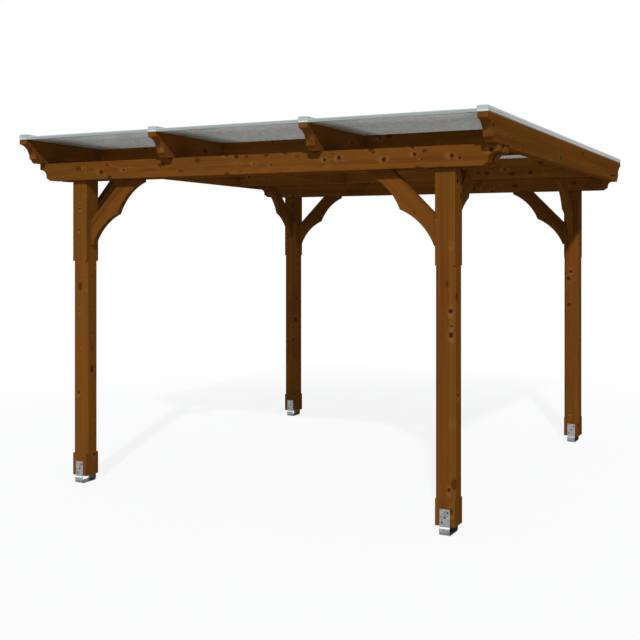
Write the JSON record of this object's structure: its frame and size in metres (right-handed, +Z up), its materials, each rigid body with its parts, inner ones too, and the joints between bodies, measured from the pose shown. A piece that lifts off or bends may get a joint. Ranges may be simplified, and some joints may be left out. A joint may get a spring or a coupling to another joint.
{
  "type": "garden pavilion",
  "caption": "Open timber garden pavilion: posts on strap anchors, beams and rafters with knee braces under a nearly flat clear sheet roof.",
  "frame": {"origin": "centre of the plan at ground level, under the anchors", "axes": "+X to the right along the front, +Y from front to back along the rafters, +Z up"},
  "size_m": [3.326, 3.5503, 2.3919],
  "materials": {
    "stained_timber": "glazed spruce, satin, knotty",
    "galvanised_steel": "hot-dip galvanised",
    "bar_aluminium": "mill finish",
    "roof_sheet": "clear twin-wall sheet",
    "edge_profile": "smooth"
  },
  "bodies": {
    "root": {"post_fl": "stained_timber", "post_fr": "stained_timber", "post_bl": "stained_timber", "post_br": "stained_timber", "anchor_fl": "galvanised_steel", "anchor_fr": "galvanised_steel", "anchor_bl": "galvanised_steel", "anchor_br": "galvanised_steel", "beam_fa": "stained_timber", "beam_fb": "stained_timber", "beam_ba": "stained_timber", "beam_bb": "stained_timber", "rafter_1": "stained_timber", "rafter_2": "stained_timber", "rafter_3": "stained_timber", "rafter_4": "stained_timber", "block_f1": "stained_timber", "block_f2": "stained_timber", "block_f3": "stained_timber", "block_b1": "stained_timber", "block_b2": "stained_timber", "block_b3": "stained_timber", "brace_x_fl": "stained_timber", "brace_x_fr": "stained_timber", "brace_x_bl": "stained_timber", "brace_x_br": "stained_timber", "brace_y_fl": "stained_timber", "brace_y_fr": "stained_timber", "brace_y_bl": "stained_timber", "brace_y_br": "stained_timber", "sheet_1": "roof_sheet", "sheet_2": "roof_sheet", "sheet_3": "roof_sheet", "bar_1": "bar_aluminium", "bar_2": "bar_aluminium", "bar_3": "bar_aluminium", "bar_4": "bar_aluminium", "edge_l": "edge_profile", "edge_r": "edge_profile", "trim_f1": "edge_profile", "trim_f2": "edge_profile", "trim_f3": "edge_profile", "trim_b1": "edge_profile", "trim_b2": "edge_profile", "trim_b3": "edge_profile"}
  },
  "joints": []
}
